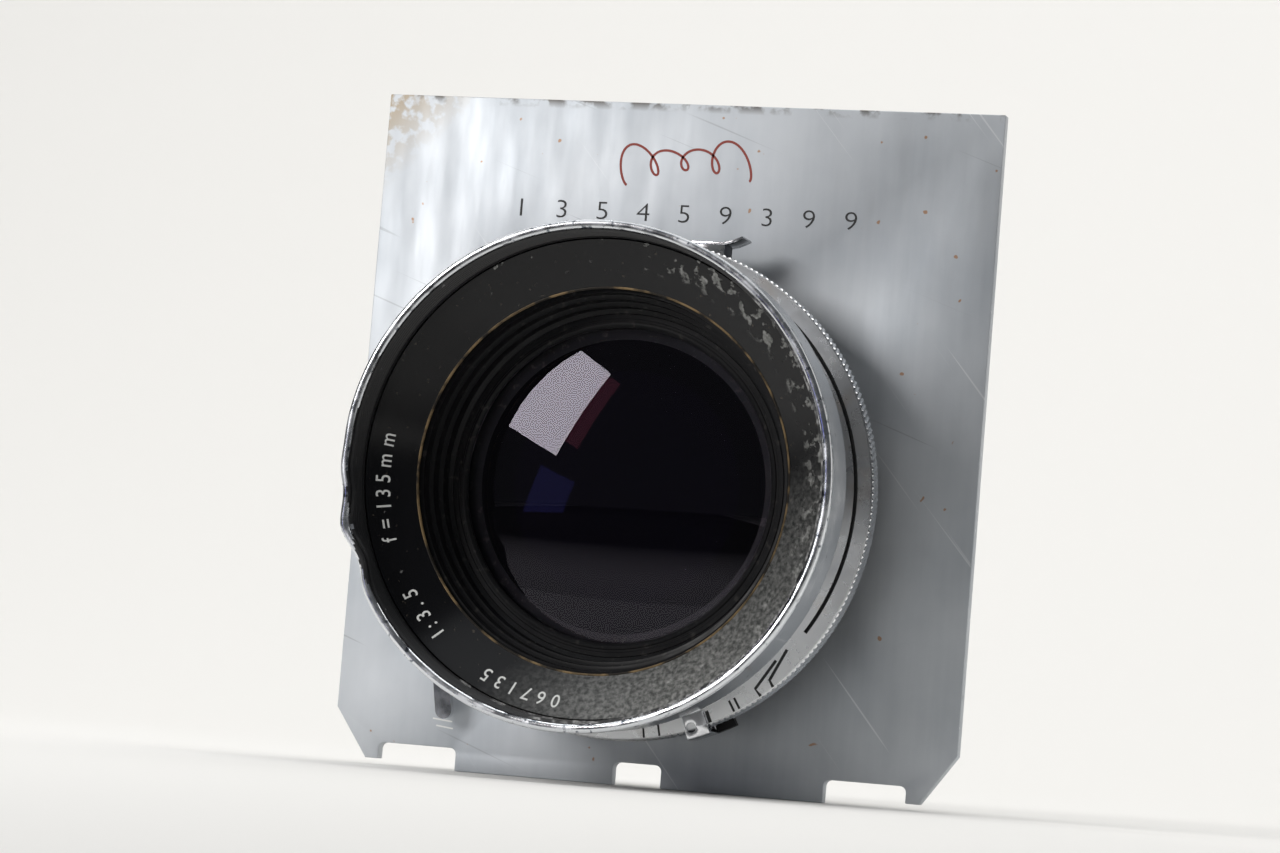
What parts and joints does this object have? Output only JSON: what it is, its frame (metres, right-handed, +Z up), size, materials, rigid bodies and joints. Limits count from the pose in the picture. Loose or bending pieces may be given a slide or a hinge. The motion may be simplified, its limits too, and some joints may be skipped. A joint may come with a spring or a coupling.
{
  "type": "lens on lens board",
  "caption": "Large-format lens in a rim-set leaf shutter, on a flat aluminium lens board with a notched lower edge.",
  "frame": {"origin": "on the lens axis, at the plane of the lens board's rear face", "axes": "+Z up along the board's long side; the lens faces -Y; +X to the right seen from the front"},
  "size_m": [0.093, 0.0576, 0.099],
  "materials": {
    "board_aluminium": "satin, worn, fine scratches",
    "bright_chrome": "polished, small nicks",
    "satin_chrome": "satin",
    "black_lacquer": "semi-gloss black",
    "gloss_lacquer": "gloss black with pale figures",
    "clock_brass": "machined",
    "screw_steel": "turned",
    "blade_steel": "blued, thin sheet",
    "insulator": "moulded",
    "optical_glass": "polished, purple coating"
  },
  "bodies": {
    "shutter_and_board": {"lens_board": "board_aluminium", "mounting_ring": "black_lacquer", "locating_screw": "screw_steel", "shutter_housing": "black_lacquer", "blade_base_plate": "clock_brass", "mechanism_plate": "clock_brass", "cover_plate": "black_lacquer", "cover_pillars": "clock_brass", "cover_screws": "screw_steel", "aperture_pivots": "screw_steel", "shutter_pivots": "screw_steel", "main_spring": "screw_steel", "retard_arbors": "screw_steel", "release_pivot": "screw_steel", "release_spring": "screw_steel", "sync_post": "bright_chrome", "sync_insulator": "insulator", "sync_contact": "clock_brass", "cable_release_socket": "bright_chrome", "speed_stop_pin": "screw_steel", "detent_spring": "screw_steel", "index_lug": "bright_chrome", "front_barrel": "bright_chrome", "name_ring": "gloss_lacquer", "front_element": "optical_glass", "front_retaining_ring": "black_lacquer", "front_spacer": "black_lacquer", "second_element": "optical_glass", "rear_barrel": "black_lacquer", "rear_doublet_front": "optical_glass", "rear_doublet_rear": "optical_glass", "rear_retaining_ring": "black_lacquer"},
    "speed_ring": {"speed_ring": "satin_chrome", "speed_cam": "clock_brass"},
    "aperture_ring": {"aperture_ring": "clock_brass"},
    "blade_ring": {"blade_ring": "screw_steel"},
    "cocking_ring": {"cocking_ring": "bright_chrome"},
    "release_lever": {"release_lever": "bright_chrome"},
    "sync_lever": {"sync_lever": "black_lacquer"},
    "retard_sector": {"retard_sector": "clock_brass"},
    "retard_wheel": {"retard_wheel": "clock_brass"},
    "retard_pallet": {"retard_pallet": "screw_steel"},
    "aperture_blade_1": {"aperture_blade_1": "blade_steel"},
    "shutter_blade_1": {"shutter_blade_1": "blade_steel"},
    "aperture_blade_2": {"aperture_blade_2": "blade_steel"},
    "shutter_blade_2": {"shutter_blade_2": "blade_steel"},
    "aperture_blade_3": {"aperture_blade_3": "blade_steel"},
    "shutter_blade_3": {"shutter_blade_3": "blade_steel"},
    "aperture_blade_4": {"aperture_blade_4": "blade_steel"},
    "shutter_blade_4": {"shutter_blade_4": "blade_steel"},
    "aperture_blade_5": {"aperture_blade_5": "blade_steel"},
    "shutter_blade_5": {"shutter_blade_5": "blade_steel"}
  },
  "joints": [
    {"name": "speed_ring_turn", "type": "hinge", "parent": "shutter_and_board", "child": "speed_ring", "pos_m": [0, -0.017, 0], "axis": [0, -1, 0], "range_deg": [0, 100]},
    {"name": "aperture_ring_turn", "type": "hinge", "parent": "shutter_and_board", "child": "aperture_ring", "pos_m": [0, -0.0055, 0], "axis": [0, -1, 0], "range_deg": [0, 40]},
    {"name": "blade_ring_turn", "type": "hinge", "parent": "shutter_and_board", "child": "blade_ring", "pos_m": [0, -0.0088, 0], "axis": [0, -1, 0], "range_deg": [0, 6.5]},
    {"name": "cocking_turn", "type": "hinge", "parent": "shutter_and_board", "child": "cocking_ring", "pos_m": [0, -0.011, 0], "axis": [0, -1, 0], "range_deg": [0, 37], "stiffness_Nm_per_rad": 0.1},
    {"name": "release_swing", "type": "hinge", "parent": "shutter_and_board", "child": "release_lever", "pos_m": [-0.03163, -0.005, -0.01612], "axis": [0, -1, 0], "range_deg": [0, 8], "stiffness_Nm_per_rad": 0.05},
    {"name": "sync_selector_turn", "type": "hinge", "parent": "shutter_and_board", "child": "sync_lever", "pos_m": [0, -0.013, 0], "axis": [0, -1, 0], "range_deg": [0, 20]},
    {"name": "retard_sector_swing", "type": "hinge", "parent": "shutter_and_board", "child": "retard_sector", "pos_m": [-0.02091, -0.013, 0.01817], "axis": [0, -1, 0], "range_deg": [0, 16]},
    {"name": "retard_wheel_spin", "type": "hinge", "parent": "shutter_and_board", "child": "retard_wheel", "pos_m": [-0.02501, -0.013, 0.0119], "axis": [0, -1, 0], "range_deg": [-64, 0]},
    {"name": "retard_pallet_rock", "type": "hinge", "parent": "shutter_and_board", "child": "retard_pallet", "pos_m": [-0.02658, -0.013, 0.00779], "axis": [0, -1, 0], "range_deg": [-4, 4]},
    {"name": "aperture_blade_1_swing", "type": "hinge", "parent": "shutter_and_board", "child": "aperture_blade_1", "pos_m": [0.027, -0.0042, 0], "axis": [0, -1, 0], "range_deg": [0, 31]},
    {"name": "shutter_blade_1_swing", "type": "hinge", "parent": "shutter_and_board", "child": "shutter_blade_1", "pos_m": [0.027, -0.0075, 0], "axis": [0, -1, 0], "range_deg": [-36, 0]},
    {"name": "aperture_blade_2_swing", "type": "hinge", "parent": "shutter_and_board", "child": "aperture_blade_2", "pos_m": [0.00834, -0.0042, 0.02568], "axis": [0, -1, 0], "range_deg": [0, 31]},
    {"name": "shutter_blade_2_swing", "type": "hinge", "parent": "shutter_and_board", "child": "shutter_blade_2", "pos_m": [0.00834, -0.0075, 0.02568], "axis": [0, -1, 0], "range_deg": [-36, 0]},
    {"name": "aperture_blade_3_swing", "type": "hinge", "parent": "shutter_and_board", "child": "aperture_blade_3", "pos_m": [-0.02184, -0.0042, 0.01587], "axis": [0, -1, 0], "range_deg": [0, 31]},
    {"name": "shutter_blade_3_swing", "type": "hinge", "parent": "shutter_and_board", "child": "shutter_blade_3", "pos_m": [-0.02184, -0.0075, 0.01587], "axis": [0, -1, 0], "range_deg": [-36, 0]},
    {"name": "aperture_blade_4_swing", "type": "hinge", "parent": "shutter_and_board", "child": "aperture_blade_4", "pos_m": [-0.02184, -0.0042, -0.01587], "axis": [0, -1, 0], "range_deg": [0, 31]},
    {"name": "shutter_blade_4_swing", "type": "hinge", "parent": "shutter_and_board", "child": "shutter_blade_4", "pos_m": [-0.02184, -0.0075, -0.01587], "axis": [0, -1, 0], "range_deg": [-36, 0]},
    {"name": "aperture_blade_5_swing", "type": "hinge", "parent": "shutter_and_board", "child": "aperture_blade_5", "pos_m": [0.00834, -0.0042, -0.02568], "axis": [0, -1, 0], "range_deg": [0, 31]},
    {"name": "shutter_blade_5_swing", "type": "hinge", "parent": "shutter_and_board", "child": "shutter_blade_5", "pos_m": [0.00834, -0.0075, -0.02568], "axis": [0, -1, 0], "range_deg": [-36, 0]}
  ],
  "couplings": [
    {"joint": "retard_wheel_spin", "follows": "retard_sector_swing", "ratio": -4},
    {"joint": "aperture_blade_1_swing", "follows": "aperture_ring_turn", "ratio": 0.775},
    {"joint": "shutter_blade_1_swing", "follows": "blade_ring_turn", "ratio": -5.5054},
    {"joint": "aperture_blade_2_swing", "follows": "aperture_ring_turn", "ratio": 0.775},
    {"joint": "shutter_blade_2_swing", "follows": "blade_ring_turn", "ratio": -5.5054},
    {"joint": "aperture_blade_3_swing", "follows": "aperture_ring_turn", "ratio": 0.775},
    {"joint": "shutter_blade_3_swing", "follows": "blade_ring_turn", "ratio": -5.5054},
    {"joint": "aperture_blade_4_swing", "follows": "aperture_ring_turn", "ratio": 0.775},
    {"joint": "shutter_blade_4_swing", "follows": "blade_ring_turn", "ratio": -5.5054},
    {"joint": "aperture_blade_5_swing", "follows": "aperture_ring_turn", "ratio": 0.775},
    {"joint": "shutter_blade_5_swing", "follows": "blade_ring_turn", "ratio": -5.5054}
  ]
}
